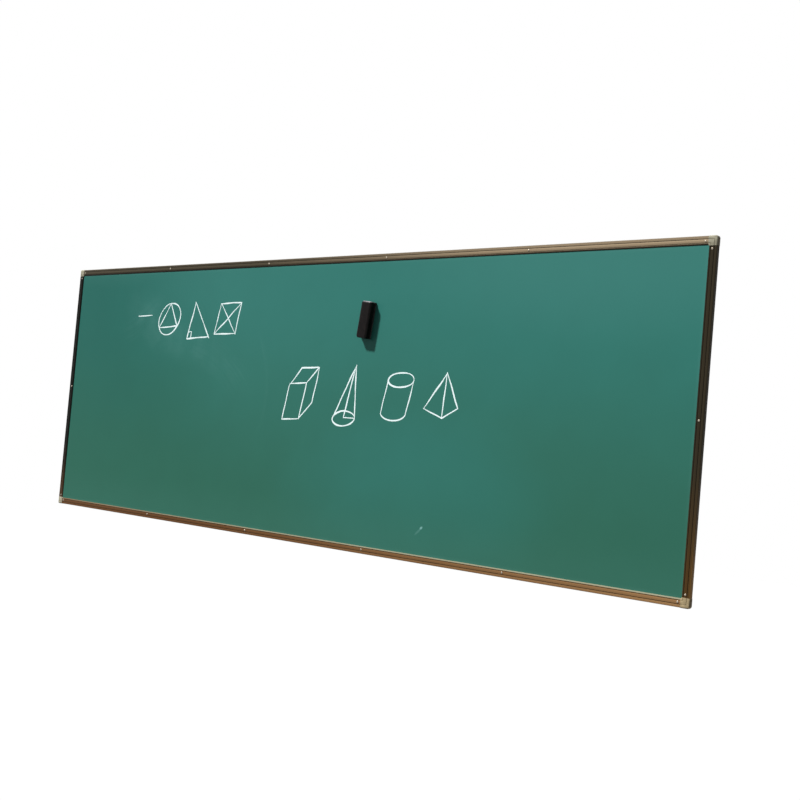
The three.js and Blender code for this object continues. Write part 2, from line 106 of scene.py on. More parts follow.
camera_data = bpy.data.cameras.new("camera")
camera_data.lens = LENS_MM
camera_data.sensor_width = SENSOR_MM
camera = bpy.data.objects.new("camera", camera_data)
camera.location = CAMERA_PLACE
turns = (CAMERA_PITCH_DEGREES, CAMERA_ROLL_DEGREES, CAMERA_HEADING_DEGREES)
camera.rotation_euler = [math.radians(turn) for turn in turns]
bpy.context.scene.collection.objects.link(camera)
bpy.context.scene.camera = camera
bpy.context.scene.view_settings.view_transform = "Standard"
print("camera at", CAMERA_PLACE, "with a lens of", LENS_MM, "mm")

# %% [markdown]
# ## Shader maths in Python
#
# A finish is a small formula: so much haze, minus the wiped streaks, times the grain. In the node
# editor that takes a Math node for every sign. Two small classes let it be written as the formula
# that it is. Value wraps a socket, and its operators add the Math nodes. Nodes wraps a node tree, and
# its one method adds any other node: first its settings, then what goes into its sockets. A finish
# is such a tree, with a shader at its end.

# %% A socket that Python's operators work on
class Value:
    """One output socket. An operator on it adds a Math node and gives that node's output."""

    def __init__(self, nodes, socket):
        self.nodes = nodes
        self.socket = socket

    def math(self, operation, first, second):
        return self.nodes.node("ShaderNodeMath", {"operation": operation}, {0: first, 1: second})

    def __add__(self, other):
        return self.math("ADD", self, other)

    def __sub__(self, other):
        return self.math("SUBTRACT", self, other)

    def __rsub__(self, other):
        return self.math("SUBTRACT", other, self)

    def __mul__(self, other):
        return self.math("MULTIPLY", self, other)

    def __truediv__(self, other):
        return self.math("DIVIDE", self, other)

    def __rtruediv__(self, other):
        return self.math("DIVIDE", other, self)

    def __pow__(self, other):
        return self.math("POWER", self, other)

    def __abs__(self):
        return self.math("ABSOLUTE", self, 0)

    def most(self, other):
        return self.math("MAXIMUM", self, other)

    def least(self, other):
        return self.math("MINIMUM", self, other)

    __radd__ = __add__
    __rmul__ = __mul__


# %% A node tree with one way to add a node
class Nodes:
    """A node tree, and the few patterns that several finishes share."""

    def __init__(self, tree):
        self.tree = tree

    def feed(self, socket, value):
        if isinstance(value, Value):
            self.tree.links.new(value.socket, socket)
        else:
            socket.default_value = value

    def node(self, kind, settings=None, inputs=None, output=0):
        made = self.tree.nodes.new(kind)
        for name, value in (settings or {}).items():
            setattr(made, name, value)
        for name, value in (inputs or {}).items():
            self.feed(made.inputs[name], value)
        return Value(self, made.outputs[output])

    def place(self):
        return self.node("ShaderNodeTexCoord", output="Object")

    def axes(self, vector):
        split = self.node("ShaderNodeSeparateXYZ", inputs={0: vector})
        return [Value(self, socket) for socket in split.socket.node.outputs]

    def stretched(self, vector, scale):
        return self.node("ShaderNodeMapping", inputs={"Vector": vector, "Scale": scale})

    def noise(self, vector, scale, detail=2.0, distortion=0.0):
        inputs = {"Vector": vector, "Scale": scale, "Detail": detail, "Distortion": distortion}
        return self.node("ShaderNodeTexNoise", inputs=inputs)

    def smooth(self, value, low, high):
        """0 below low, 1 above high and a smooth rise between them."""
        inputs = {"Value": value, "From Min": low, "From Max": high}
        return self.node("ShaderNodeMapRange", {"interpolation_type": "SMOOTHSTEP"}, inputs)

    def band(self, value, low, high, edge):
        """1 between low and high, fading out over edge on both sides."""
        return self.smooth(value, low - edge, low) * (1 - self.smooth(value, high, high + edge))

    def mix(self, factor, first, second):
        inputs = {0: factor, 6: first, 7: second}
        return self.node("ShaderNodeMix", {"data_type": "RGBA"}, inputs, output=2)

    def lit(self, colour, factor):
        """A colour made lighter or darker by a factor that may change over the surface."""
        return self.node("ShaderNodeVectorMath", {"operation": "SCALE"}, {0: colour, "Scale": factor})

    def bump(self, height, distance):
        return self.node("ShaderNodeBump", inputs={"Height": height, "Distance": distance})


# %% A new finish, and colours as a colour picker shows them
class Finish(Nodes):
    """A material. Values that are the same all over are set on the shader's own sockets."""

    def __init__(self, name, plain):
        self.material = bpy.data.materials.new(name)
        self.material.use_nodes = True
        super().__init__(self.material.node_tree)
        self.shader = self.tree.nodes["Principled BSDF"]
        self.put(plain)

    def put(self, values):
        for name, value in values.items():
            self.feed(self.shader.inputs[name], value)


def paint(red, green, blue):
    """The linear colour of three picker values from 0 to 255."""
    shares = [value / 255 for value in (red, green, blue)]
    return (*[s / 12.92 if s < 0.04 else ((s + 0.055) / 1.055) ** 2.4 for s in shares], 1.0)


WHITE = paint(255, 255, 255)

# %% [markdown]
# ## The light
#
# The eraser's shadow tells where the light came from: it falls to the lower right, about twice as long
# as the eraser is deep, and it is dark. So one soft sun from the upper left gives more than four
# fifths of the light on the face, and the sky gives the rest from all round. Together they make 1, so
# a colour on the board looks about as it is written. The sky looks white to the camera and in
# reflections, but shines less than a fifth as bright.

# %% The sun and the sky
SUN_TRAVEL = Vector((0.445, 0.463, -0.767))
SUN_SHARE = 0.83
SUN_WIDTH_DEGREES = 5
SKY_SHARE = 0.17

sun_data = bpy.data.lights.new("sun", "SUN")
sun_data.energy = SUN_SHARE * math.pi / SUN_TRAVEL.normalized().y
sun_data.angle = math.radians(SUN_WIDTH_DEGREES)
sun = bpy.data.objects.new("sun", sun_data)
sun.rotation_euler = SUN_TRAVEL.to_track_quat("-Z", "Y").to_euler()
bpy.context.scene.collection.objects.link(sun)


def seen_or_mirrored(nodes):
    """1 for what the camera sees, straight or in a reflection, and 0 for what only lights."""
    path = nodes.node("ShaderNodeLightPath", output="Is Camera Ray")
    outputs = path.socket.node.outputs
    glossy = Value(nodes, outputs["Is Glossy Ray"])
    through = Value(nodes, outputs["Is Transmission Ray"])
    return path.most(glossy).most(through)


world = bpy.data.worlds.new("sky")
world.use_nodes = True
bpy.context.scene.world = world
sky = Nodes(world.node_tree)
background = world.node_tree.nodes["Background"]
sky.feed(background.inputs["Color"], WHITE)
sky.feed(background.inputs["Strength"], SKY_SHARE + (1 - SKY_SHARE) * seen_or_mirrored(sky))
print("sun strength", round(sun_data.energy, 2))

# %% [markdown]
# ## The floor
#
# The board hangs on a wall, and the floor lies well below it. Where the sun reaches it, it is as
# white to the camera as the sky is, yet it still shows the board's soft shadow. To the light it is a
# mid grey, so that it throws back as much as the sky does and no colour on the board is washed out
# from below.

# %% The floor
FLOOR_HEIGHT = -2.2
FLOOR_SIZE = 40
FLOOR_OWN_GLOW = 0.62
FLOOR_AS_SEEN = paint(138, 138, 138)
FLOOR_TO_THE_LIGHT = paint(98, 98, 98)

floor_shape = bmesh.new()
bmesh.ops.create_grid(floor_shape, x_segments=1, y_segments=1, size=FLOOR_SIZE / 2)
bmesh.ops.translate(floor_shape, vec=(0, 0, FLOOR_HEIGHT), verts=floor_shape.verts)
floor_mesh = bpy.data.meshes.new("floor")
floor_shape.to_mesh(floor_mesh)
floor_shape.free()
floor = bpy.data.objects.new("floor", floor_mesh)
bpy.context.scene.collection.objects.link(floor)

pale = Finish("pale_floor", {})
glow = pale.node("ShaderNodeEmission", inputs={"Color": WHITE, "Strength": FLOOR_OWN_GLOW})
shaded = pale.node("ShaderNodeBsdfDiffuse", inputs={"Color": FLOOR_AS_SEEN})
shown = pale.node("ShaderNodeAddShader", inputs={0: glow, 1: shaded})
grey = pale.node("ShaderNodeBsdfDiffuse", inputs={"Color": FLOOR_TO_THE_LIGHT})
both = pale.node("ShaderNodeMixShader", inputs={0: seen_or_mirrored(pale), 1: grey, 2: shown})
pale.feed(pale.tree.nodes["Material Output"].inputs["Surface"], both)
floor_mesh.materials.append(pale.material)
print("floor at", FLOOR_HEIGHT, "m")

# %% [markdown]
# ## From a bmesh to a piece
#
# Every piece that is modelled here goes the same way: a bmesh is shaped with operators, becomes a
# mesh, gets its finish, stands for the plain solids whose place it takes, and rides on the body that
# they are on. Its object stays at the origin, because its place is in its mesh. Places are compared
# to within a hair, a tenth of a millimetre, which is less than any form here measures.

# %% From a bmesh to a piece
SMOOTH_DEGREES = 32
ROUND_SEGMENTS = 8
HAIR = 0.1 * MM
scene_objects = bpy.context.scene.collection.objects


def make_piece(name, shape, finish, body, nodes=()):
    """Turns a bmesh into a piece, smooth where its faces meet at less than a set angle."""
    mesh = bpy.data.meshes.new(name)
    shape.to_mesh(mesh)
    shape.free()
    mesh.shade_smooth()
    mesh.set_sharp_from_angle(angle=math.radians(SMOOTH_DEGREES))
    mesh.materials.append(finish.material)
    piece = bpy.data.objects.new(name, mesh)
    scene_objects.link(piece)
    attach(piece, body)
    if nodes:
        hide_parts(*nodes)
    return piece


# %% [markdown]
# ## Softened copies
#
# Cut metal and moulded plastic have no knife edges: each edge is broken by a few tenths of a
# millimetre, and it is that thin round that catches the light. The plain solids are loose triangles,
# so a copy is joined up first, its flat faces are made whole, and then a bevel goes round every edge
# that is sharper than a set angle. A bevel can leave two points in one place, and they are merged.

# %% Softened copies of plain solids
JOIN_DISTANCE = 2e-6
SAME_PLACE = 1e-7
FLAT_DEGREES = 1
SHARP_DEGREES = 35


def joined_copy(node):
    """The mesh of a plain solid as a bmesh, with its triangles joined into whole flat faces."""
    shape = bmesh.new()
    shape.from_mesh(frame["nodes"][node].data)
    bmesh.ops.remove_doubles(shape, verts=shape.verts, dist=JOIN_DISTANCE)
    limit = math.radians(FLAT_DEGREES)
    bmesh.ops.dissolve_limit(shape, angle_limit=limit, verts=shape.verts, edges=shape.edges)
    return shape


def sharp_edges(shape):
    limit = math.radians(SHARP_DEGREES)
    return [edge for edge in shape.edges if edge.is_manifold and edge.calc_face_angle() > limit]


def soften(shape, edges, width, segments=2):
    """A bevel along the given edges."""
    bmesh.ops.bevel(
        shape, geom=edges, offset=width, offset_type="OFFSET", segments=segments, profile=0.5,
        affect="EDGES", material=-1, clamp_overlap=True,
    )


def join_up(shape):
    """Merges the points that a bevel, a cut or a curve's end left on top of each other."""
    bmesh.ops.remove_doubles(shape, verts=shape.verts, dist=SAME_PLACE)


def make_softened(node, width, finish, body):
    shape = joined_copy(node)
    soften(shape, sharp_edges(shape), width)
    join_up(shape)
    return make_piece("soft_" + node, shape, finish, body, [node])


# %% [markdown]
# ## Green lacquer
#
# The face is steel sheet with a green stoving enamel that is nearly matt: close to its side the black
# eraser is dimly mirrored in it. Chalk is wiped over it every day, so a thin haze of dust stays in its
# grain. The greens are lighter and bluer at the upper right, darker at the upper left and deepest along
# the foot: this is partly that chalk haze and partly the sky's reflection in the enamel, painted into
# the colour. The greens are mixed by large soft masks. On top lie the faint arcs that an arm leaves
# when it wipes, a pale line along the frame, where the eraser doesn't reach into the corner, and one
# small mark of chalk with a short trail, low on the right half.

# %% Green lacquer
# These greens hold a painted sky reflection as well as chalk haze: lighter and bluer up and to the
# right, darker to the left and at the foot.
FOOT_LEFT_GREEN = paint(32, 96, 78)
FOOT_RIGHT_GREEN = paint(45, 100, 83)
UPPER_LEFT_GREEN = paint(24, 97, 87)
HAZED_SKY_SHEEN_GREEN = paint(48, 116, 107)
DUST = paint(158, 214, 211)
FACE_HALF_LENGTH = 1.769
FACE_HALF_HEIGHT = 0.569
UNWIPED_START = 3 * MM
UNWIPED_END = 14 * MM
FELT_LINES = 75.0
LINE_LENGTHENING = 0.03

# Soft patches: the middle and the half size along and up the face, and the turn in degrees
PATCHES = {
    "wiped_foot": ((0.55, -0.45), (0.85, 0.5), 0),
    "first_figures": ((-1.13, 0.33), (0.30, 0.15), -25),
    "under_figures": ((-0.85, 0.22), (0.36, 0.12), -12),
    "top_right": ((1.4, 0.65), (1.2, 0.45), 0),
    "top_left": ((-1.5, 0.62), (0.55, 0.13), 0),
    "spot": ((0.650, -0.465), (0.010, 0.006), 35),
    "trail": ((0.636, -0.480), (0.028, 0.006), 42),
}

# Wiped arcs: the shoulder, the arm's reach, the arc's width, and its patch's middle and half size
WIPED_ARCS = [
    ((-0.95, -0.42), 0.66, 0.07, (-0.62, 0.17), (0.42, 0.24)),
    ((-0.80, 0.02), 0.50, 0.012, (-0.31, 0.08), (0.14, 0.30)),
    ((-1.60, 0.95), 0.72, 0.05, (-1.25, 0.33), (0.20, 0.14)),
]


def smudge(finish, place, centre, half_size, turn_degrees=0):
    """A soft oval patch on the face, 1 in its middle. Centre and half size are X and Z in metres."""
    x, _, z = finish.axes(place)
    turn = math.radians(turn_degrees)
    along = (x - centre[0]) * math.cos(turn) + (z - centre[1]) * math.sin(turn)
    across = (z - centre[1]) * math.cos(turn) - (x - centre[0]) * math.sin(turn)
    distance = (along / half_size[0]) ** 2 + (across / half_size[1]) ** 2
    return 1 - finish.smooth(distance, 0.0, 1.0)


def arm_swing(finish, place, shoulder, reach, width, patch):
    """A wiped arc round a point X, Z, as far as an arm reaches, inside an oval patch.

    The felt leaves fine lines along the arc: a noise that changes quickly with the distance from the
    shoulder and slowly along the way.
    """
    x, _, z = finish.axes(place)
    distance = ((x - shoulder[0]) ** 2 + (z - shoulder[1]) ** 2) ** 0.5
    inputs = {0: distance, 1: LINE_LENGTHENING * x, 2: LINE_LENGTHENING * z}
    across = finish.node("ShaderNodeCombineXYZ", inputs=inputs)
    lines = finish.smooth(finish.noise(across, FELT_LINES, 4.0), 0.36, 0.66)
    return finish.band(distance, reach - width / 2, reach + width / 2, width) * patch * (0.2 + lines)


def green_lacquer():
    green = Finish("green_lacquer", {"Specular IOR Level": 0.13})
    place = green.place()
    x, _, z = green.axes(place)
    cloud = green.noise(green.stretched(place, (1.0, 1.0, 1.6)), 1.7, 3.0, 0.4)
    grain = green.noise(place, 420.0, 3.0)
    patch = {name: smudge(green, place, *numbers) for name, numbers in PATCHES.items()}
    # Painted reflection with chalk haze: the face turns lighter and bluer towards the upper right.
    haze_and_sky_sheen = green.smooth(x + 0.5 * z + 0.3 * cloud, -1.25, -0.15)
    upper = green.mix(haze_and_sky_sheen, UPPER_LEFT_GREEN, HAZED_SKY_SHEEN_GREEN)
    foot = green.mix(green.smooth(x, -2.3, 0.9), FOOT_LEFT_GREEN, FOOT_RIGHT_GREEN)
    raised = green.smooth(z + 0.22 * cloud + 0.38 * patch["wiped_foot"], -0.39, 0.61)
    face = green.mix(raised, foot, upper)
    swings = sum(
        arm_swing(green, place, shoulder, reach, width, smudge(green, place, middle, half_size))
        for shoulder, reach, width, middle, half_size in WIPED_ARCS
    )
    fallen = 1 - green.smooth(z, -0.57, -0.38)
    patchy = green.smooth(green.noise(place, 11.0, 4.0, 0.5), 0.3, 0.75)
    to_frame = (FACE_HALF_LENGTH - abs(x)).least(FACE_HALF_HEIGHT - abs(z))
    unwiped = 0.02 * (1 - green.smooth(to_frame, UNWIPED_START, UNWIPED_END))
    rubbed = 0.025 * swings + 0.04 * patch["first_figures"] + 0.02 * patch["under_figures"]
    wiped = rubbed * (0.25 + 0.75 * patchy)
    # The upper right patch of settled dust is partly painted sky reflection.
    settled = 0.03 * patch["top_right"] + 0.02 * patch["top_left"] + 0.014 * fallen
    tapped = 0.45 * patch["spot"] + 0.1 * patch["trail"]
    dust = wiped + settled + tapped + unwiped * (0.5 + patchy)
    shade = 0.92 + 0.09 * green.noise(place, 6.0, 6.0, 0.3) + 0.07 * grain
    green.put({
        "Base Color": green.mix(dust * (0.8 + 0.4 * grain), green.lit(face, shade), DUST),
        "Roughness": 0.36 + 0.5 * dust + 0.1 * grain,
        "Normal": green.bump(grain, 0.06 * MM),
    })
    return green


lacquer = green_lacquer()
print("nodes in the green lacquer:", len(lacquer.tree.nodes))

# %% [markdown]
# ## Bronze anodised aluminium
#
# The rails are extruded and drawn, so fine lines run along them, and then anodised bronze. Drawn
# lines throw light sideways from themselves. The light comes from above, so the long rails shine, most
# at their near end, while the short ones stay nearly black except low down: this shine and shade is
# painted into the rails' colours. The drawn lines are a noise that is stretched about two hundred times
# along the rail. The grooves and the lips that look down or sideways are darkened: painted shade, with
# some grime. Chalk dust falls on the lip under the writing face, and house dust lies on the upper rail.
# Low on the right, sleeves have worn the outer edge: it is more metallic there, and painted lighter as
# a painted sheen.

# %% Bronze anodised aluminium
BOARD_HALF_LENGTH = cad_box[1].x
BOARD_HALF_HEIGHT = cad_box[1].z
CAP_PROUD = 1 * MM
FRONT_PARTS_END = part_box("rail_bottom")[0].y + 3.5 * MM
GROOVES = ((10 * MM, 11.5 * MM), (23 * MM, 24.5 * MM))
LIP_BEVEL_START = 26 * MM
LINE_STRETCH = 220
SHADE_AND_GRIME_BLUR = 0.5 * MM
LIP_BLUR = 0.8 * MM
OUTER_STRIP = (1.5 * MM, 4.5 * MM)
# Dark colour for the grooves and for the lips that look down or sideways: painted shade, with some
# grime.
GRIME_AND_SHADE = paint(22, 17, 12)
LIP_DUST = paint(138, 146, 126)
EDGE_DUST = paint(122, 114, 102)


def bronze(name, along, edge, painted_shine_tones, span, lip_dust=0.0, lip_grime_and_shade=0.0, edge_dust=0.0, worn_and_sheen=0.0):
    """Bronze for a rail along X or Z, whose outer edge lies at the distance edge from the middle.

    The rail has the first tone at its low end and the second one at its high end, and changes from
    one to the other over the span. The tones carry painted shine and shade.
    """
    rail = Finish(name, {"Specular IOR Level": 0.05})
    place = rail.place()
    x, y, z = rail.axes(place)
    front = 1 - rail.smooth(y, FRONT_PARTS_END - SHADE_AND_GRIME_BLUR, FRONT_PARTS_END)
    run, side = (x, z) if along == "x" else (z, x)
    scale = (1, LINE_STRETCH, LINE_STRETCH) if along == "x" else (LINE_STRETCH, LINE_STRETCH, 1)
    lines = rail.noise(rail.stretched(place, scale), 9.0, 3.0)
    patches = rail.noise(place, 6.0, 3.0, 0.6)
    inwards = edge - abs(side)
    lip = front * rail.smooth(inwards, LIP_BEVEL_START - LIP_BLUR, LIP_BEVEL_START)
    outer = 1 - rail.smooth(inwards, *OUTER_STRIP)
    groove = front * sum(rail.band(inwards, low, high, SHADE_AND_GRIME_BLUR) for low, high in GROOVES)
    # Painted shine and shade: the colour moves from the first tone to the second along the rail.
    shine_ramp = rail.smooth(run + 0.3 * patches, *span)
    shine_painted = rail.lit(rail.mix(shine_ramp, *painted_shine_tones), 0.80 + 0.28 * lines + 0.12 * patches)
    # Painted shade in the grooves and on the lips, with some grime.
    grimy_and_shaded = rail.mix((0.95 * groove).most(lip_grime_and_shade * lip), shine_painted, GRIME_AND_SHADE)
    fallen = lip_dust * lip * rail.smooth(run, -3.2, 1.2) * (0.6 + 0.5 * patches)
    settled = edge_dust * outer * (0.7 + 0.5 * patches)
    # Low on the outer edge the colour is painted lighter, a painted sheen, and the wear also makes it
    # more metallic.
    polish_and_sheen = worn_and_sheen * outer * (1 - shine_ramp)
    dust_and_sheen = rail.mix(fallen, rail.lit(grimy_and_shaded, 1 + 4 * polish_and_sheen), LIP_DUST)
    rail.put({
        "Base Color": rail.mix(settled, dust_and_sheen, EDGE_DUST),
        "Metallic": 0.25 * (1 - fallen) * (1 - settled) + polish_and_sheen,
        "Roughness": 0.36 + 0.16 * lines + 0.4 * fallen + 0.3 * settled,
        "Normal": rail.bump(lines, 0.03 * MM),
    })
    return rail


# Each rail's two tones are painted shine and shade: light where the rail shines, near black where it
# doesn't.
bottom_bronze = bronze(
    "bronze_bottom", "x", BOARD_HALF_HEIGHT - CAP_PROUD,
    painted_shine_tones=(paint(99, 67, 38), paint(150, 115, 77)), span=(-0.85, 2.85), lip_dust=0.85,
)
top_bronze = bronze(
    "bronze_top", "x", BOARD_HALF_HEIGHT - CAP_PROUD,
    painted_shine_tones=(paint(72, 65, 51), paint(149, 131, 106)), span=(-0.45, 1.45), lip_grime_and_shade=0.85, edge_dust=0.7,
)
left_bronze = bronze(
    "bronze_left", "z", BOARD_HALF_LENGTH - CAP_PROUD,
    painted_shine_tones=(paint(92, 66, 42), paint(15, 17, 12)), span=(-0.62, -0.1), lip_grime_and_shade=0.3,
)
right_bronze = bronze(
    "bronze_right", "z", BOARD_HALF_LENGTH - CAP_PROUD,
    painted_shine_tones=(paint(82, 58, 26), paint(49, 43, 31)), span=(-0.62, 0.1), lip_grime_and_shade=0.4, worn_and_sheen=0.35,
)
print("nodes in one bronze:", len(bottom_bronze.tree.nodes))

# %% [markdown]
# ## Rails
#
# A rail is one section drawn along a straight line, as the real one is pressed through a die. The
# section is a few corner points. Its edges are extruded into an open tube first, the long edges are
# rounded while it is open, and only then are the ends filled: a bevel on a closed end would have to
# fight with the end's triangles.

# %% The rail's section, in its own axes: from the outer edge inwards, and from the back forwards
low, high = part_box("rail_bottom")
RAIL_FACE = high.z - low.z
RAIL_DEPTH = high.y - low.y
RAIL_BACK = high.y
OUTER_RADIUS = 2 * MM
GROOVE_DEPTH = 1 * MM
GROOVE_TAPER = 0.25 * MM
LIP_EDGE_FRONT = 13.25 * MM
LIP_BACK = 12 * MM
SLOT_BOTTOM = 23.5 * MM
BACK_LIP_END = 28 * MM
WALL = 1.5 * MM
FRONT_WALL = 2 * MM
CHAMBER_END = 22 * MM
EDGE_ROUND = 0.35 * MM
CREASE_DEGREES = 17

groove_points = [
    point
    for start, end in GROOVES
    for point in (
        (start, RAIL_DEPTH),
        (start + GROOVE_TAPER, RAIL_DEPTH - GROOVE_DEPTH),
        (end - GROOVE_TAPER, RAIL_DEPTH - GROOVE_DEPTH),
        (end, RAIL_DEPTH),
    )
]
outside_points = [
    (0, 0),
    (0, RAIL_DEPTH),
    *groove_points,
    (LIP_BEVEL_START, RAIL_DEPTH),
    (RAIL_FACE, LIP_EDGE_FRONT),
    (RAIL_FACE, LIP_BACK),
    (SLOT_BOTTOM, LIP_BACK),
    (SLOT_BOTTOM, WALL),
    (BACK_LIP_END, WALL),
    (BACK_LIP_END, 0),
]
chamber_points = [
    (WALL, WALL),
    (CHAMBER_END, WALL),
    (CHAMBER_END, RAIL_DEPTH - FRONT_WALL),
    (WALL, RAIL_DEPTH - FRONT_WALL),
]
print("corners of the section:", len(outside_points), "outside and", len(chamber_points), "inside")


# %% Draw the section out into a rail
def draw_loop(shape, points, start):
    corners = [shape.verts.new((x, y, start)) for x, y in points]
    return [shape.edges.new(pair) for pair in zip(corners, corners[1:] + corners[:1])]


def draw_out(shape, loops, length):
    """Extrudes closed loops along Z into open tubes."""
    tubes = bmesh.ops.extrude_edge_only(shape, edges=loops)["geom"]
    moved = [item for item in tubes if isinstance(item, bmesh.types.BMVert)]
    bmesh.ops.translate(shape, vec=(0, 0, length), verts=moved)


def long_edges(shape, test=lambda x, y: True):
    """Edges along Z whose place in the section passes a test."""
    found = []
    for edge in shape.edges:
        one, other = edge.verts
        if abs(one.co.z - other.co.z) > HAIR and test(one.co.x, one.co.y):
            found.append(edge)
    return found


def rail_shape(length):
    """A rail along Z, with its middle at 0."""
    shape = bmesh.new()
    outside = draw_loop(shape, outside_points, -length / 2)
    chamber = draw_loop(shape, chamber_points, -length / 2)
    draw_out(shape, outside + chamber, length)
    corner = long_edges(shape, lambda x, y: x < HAIR and y > RAIL_DEPTH - HAIR)
    soften(shape, corner, OUTER_RADIUS, ROUND_SEGMENTS)
    front = long_edges(shape, lambda x, y: x > OUTER_RADIUS and y > LIP_BACK + HAIR)
    crease = math.radians(CREASE_DEGREES)
    soften(shape, [edge for edge in front if edge.calc_face_angle() > crease], EDGE_ROUND)
    for end in (-length / 2, length / 2):
        rim = [e for e in shape.edges if all(abs(v.co.z - end) < HAIR for v in e.verts)]
        bmesh.ops.triangle_fill(shape, use_beauty=True, edges=rim)
    bmesh.ops.recalc_face_normals(shape, faces=shape.faces)
    return shape


INWARDS = {
    "bottom": Vector((0, 0, 1)),
    "top": Vector((0, 0, -1)),
    "left": Vector((1, 0, 0)),
    "right": Vector((-1, 0, 0)),
}


def rail_axes(side):
    """Where a rail's own axes lie on the board."""
    inwards = INWARDS[side]
    forwards = Vector((0, -1, 0))
    low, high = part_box("rail_" + side)
    middle = (low + high) / 2
    edge = middle - inwards * (RAIL_FACE / 2)
    turn = Matrix((inwards, forwards, inwards.cross(forwards))).transposed()
    return Matrix.Translation((edge.x, RAIL_BACK, edge.z)) @ turn.to_4x4()


def make_rail(side, finish):
    low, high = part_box("rail_" + side)
    length = max(high.x - low.x, high.z - low.z)
    shape = rail_shape(length)
    bmesh.ops.transform(shape, matrix=rail_axes(side), verts=shape.verts)
    rail = make_piece("drawn_rail_" + side, shape, finish, "board", ["rail_" + side])
    print(rail.name, "is", round(length, 3), "m long with", len(rail.data.polygons), "faces")


make_rail("bottom", bottom_bronze)
make_rail("top", top_bronze)
make_rail("left", left_bronze)
make_rail("right", right_bronze)

# %% [markdown]
# ## Corner caps
#
# The caps are moulded in a cream plastic. Their shape is already right, down to the ribs that meet at
# the mitre, so a copy is softened. The plastic is bleached at the left end and has yellowed most at the
# lower right, and it is cloudy, with brown streaks where hands have gone. Its outer sides are painted
# dark brown: painted shade on the side walls.

# %% Corner caps
CAP_ROUND = 0.3 * MM
SIDE_SHADE_START = 0.6 * MM
SIDE_SHADE_FULL = 0.1 * MM
CAP_CREAM = paint(162, 158, 137)
CAP_YELLOWED = paint(166, 149, 114)
# Brown for the streaks, and for the painted shade on the outer side walls.
CAP_DIRT_AND_SHADE = paint(92, 72, 48)


def cap_plastic():
    cap = Finish("cream_plastic", {"Specular IOR Level": 0.12})
    place = cap.place()
    x, _, z = cap.axes(place)
    cloud = cap.noise(place, 60.0, 3.0)
    speck = cap.noise(place, 900.0, 2.0)
    streaks = cap.noise(cap.stretched(place, (1, 1, 9)), 42.0, 3.0)
    aged = cap.smooth(0.3 * x - z, -0.2, 1.2)
    yellowed = cap.mix(aged, CAP_CREAM, CAP_YELLOWED)
    bleached = 1.02 - 0.05 * x
    greyed = cap.lit(yellowed, bleached * (0.82 + 0.36 * cap.smooth(cloud, 0.25, 0.75)))
    # Painted shade: the outer side walls are painted dark brown.
    side_shade_start = BOARD_HALF_LENGTH - SIDE_SHADE_START
    shaded_sides = cap.smooth(abs(x), side_shade_start, BOARD_HALF_LENGTH - SIDE_SHADE_FULL)
    dirt_and_shade = (0.35 * cap.smooth(streaks, 0.52, 0.7)).most(0.6 * shaded_sides)
    cap.put({
        "Base Color": cap.mix(dirt_and_shade, greyed, CAP_DIRT_AND_SHADE),
        "Roughness": 0.42 + 0.12 * cloud,
        "Normal": cap.bump(speck, 0.02 * MM),
    })
    return cap


cream = cap_plastic()
for corner in ("bottom_left", "top_left", "top_right", "bottom_right"):
    cap = make_softened("corner_cap_" + corner, CAP_ROUND, cream, "board")
    print(cap.name, "has", len(cap.data.polygons), "faces")

# %% [markdown]
# ## Screws
#
# Pan-head screws with a cross recess, zinc plated. A profile spun round an axis makes the screw, and
# a tapered cross is cut out of its head with a Boolean modifier, which is then applied. Fitters leave
# the crosses at any angle, so each copy is turned by a different amount.

# %% One screw, spun from its profile
HEAD_RADIUS = 3.75 * MM
HEAD_HEIGHT = 2.2 * MM
SHANK_RADIUS = 1.9 * MM
HEAD_STRAIGHT = 0.5 * MM
SPIN_STEPS = 32
DOME_STEPS = 6
RECESS_LENGTH = 4.2 * MM
RECESS_WIDTH = 0.95 * MM
RECESS_DEPTH = 1.4 * MM
RECESS_TAPER = 0.45
ZINC_LIGHT = paint(172, 162, 146)
ZINC_DARK = paint(128, 120, 108)


def zinc():
    steel = Finish("zinc_plate", {"Metallic": 1.0})
    place = steel.place()
    cloud = steel.noise(place, 350.0, 3.0)
    steel.put({
        "Base Color": steel.mix(cloud, ZINC_LIGHT, ZINC_DARK),
        "Roughness": 0.34 + 0.2 * cloud,
        "Normal": steel.bump(steel.noise(place, 1500.0, 2.0), 0.01 * MM),
    })
    return steel


def screw_shape(length):
    """A screw along Y: its seat at 0, its point at +length and its head towards -Y."""
    rise = HEAD_HEIGHT - HEAD_STRAIGHT
    dome = [
        (HEAD_RADIUS * math.cos(angle), -HEAD_STRAIGHT - rise * math.sin(angle))
        for angle in (math.pi / 2 * step / DOME_STEPS for step in range(DOME_STEPS))
    ]
    profile = [
        (0, length), (SHANK_RADIUS, length - SHANK_RADIUS), (SHANK_RADIUS, 0), (HEAD_RADIUS, 0),
        *dome, (0, -HEAD_HEIGHT),
    ]
    shape = bmesh.new()
    points = [shape.verts.new((radius, y, 0)) for radius, y in profile]
    edges = [shape.edges.new(pair) for pair in zip(points, points[1:])]
    bmesh.ops.spin(
        shape, geom=points + edges, cent=(0, 0, 0), axis=(0, 1, 0), angle=2 * math.pi,
        steps=SPIN_STEPS, use_merge=True, use_duplicate=False,
    )
    bmesh.ops.remove_doubles(shape, verts=shape.verts, dist=JOIN_DISTANCE)
    bmesh.ops.recalc_face_normals(shape, faces=shape.faces)
    return shape


